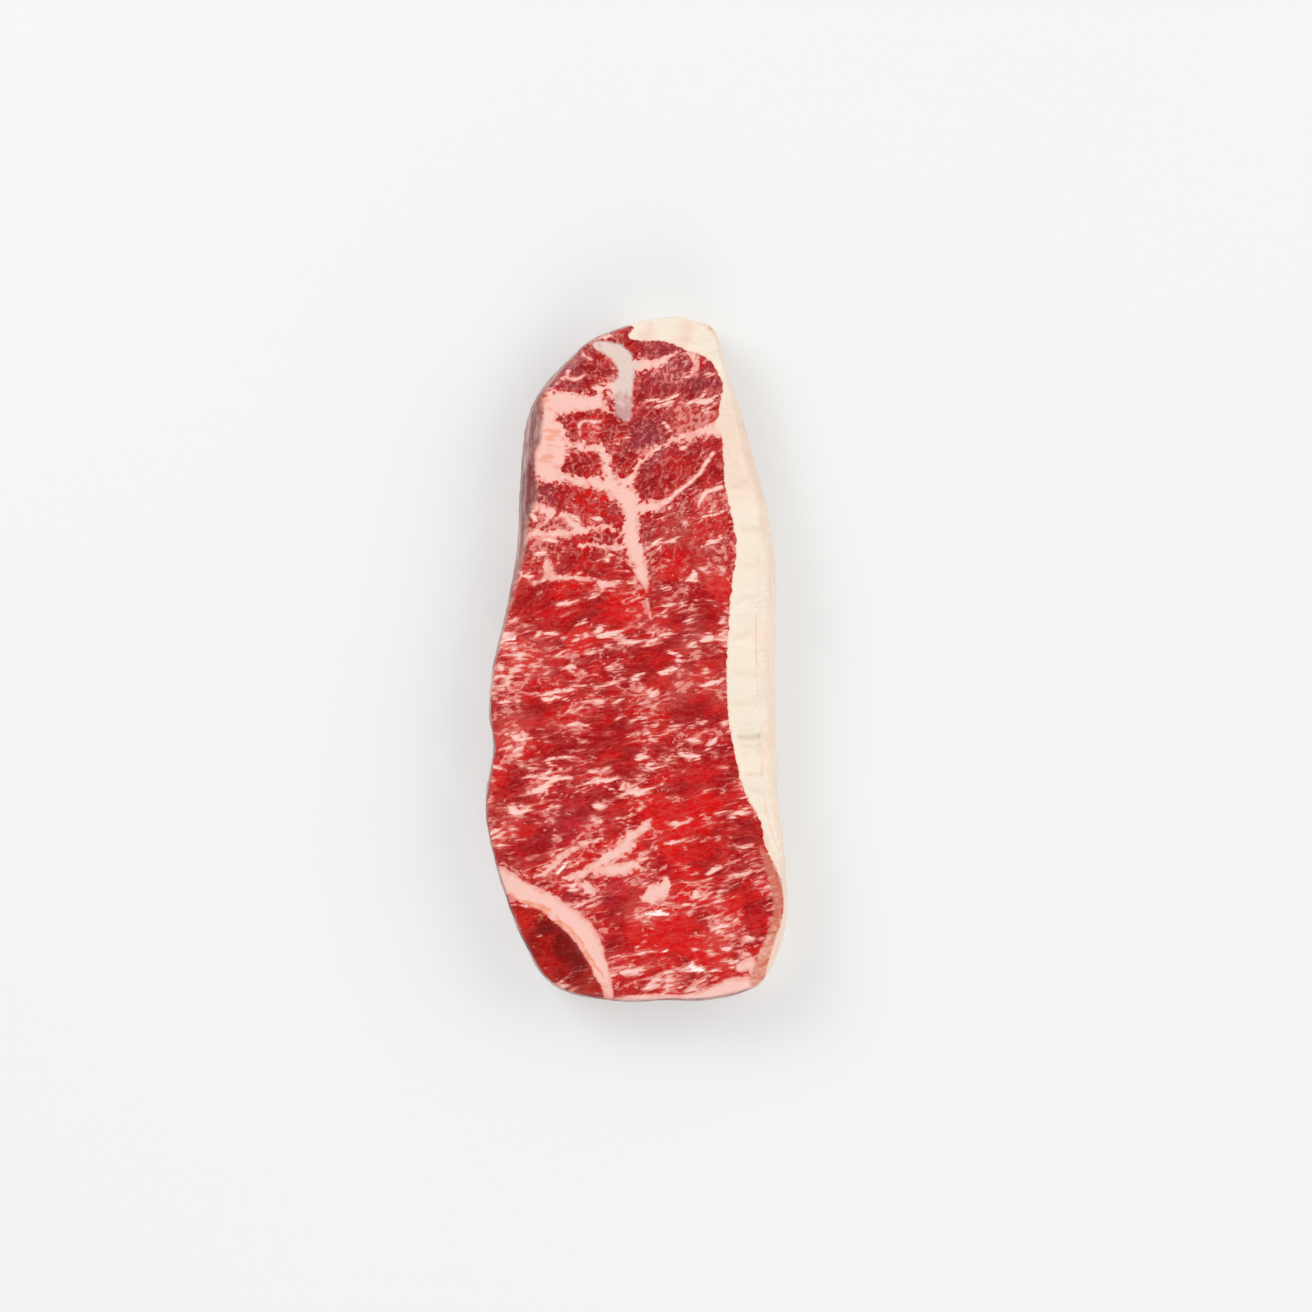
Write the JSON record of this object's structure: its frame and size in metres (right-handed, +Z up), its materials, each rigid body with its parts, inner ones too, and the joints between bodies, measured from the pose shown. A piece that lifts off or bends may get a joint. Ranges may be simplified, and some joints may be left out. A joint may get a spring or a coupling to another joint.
{
  "type": "raw sirloin steak",
  "caption": "Raw boneless sirloin steak cut from the strip loin, thickly marbled lean with a fat cap along its long side, lying flat on its cut face.",
  "frame": {"origin": "on the surface the steak lies on, under the middle of its bounding box", "axes": "+Y along the steak towards its narrow head end, +X across it towards the fat cap, +Z up through its thickness"},
  "size_m": [0.0966, 0.22, 0.0252],
  "materials": {
    "raw_beef": "moist raw beef, red lean with pale pink marbling and a cream fat cap"
  },
  "bodies": {
    "root": {"steak": "raw_beef"}
  },
  "joints": []
}
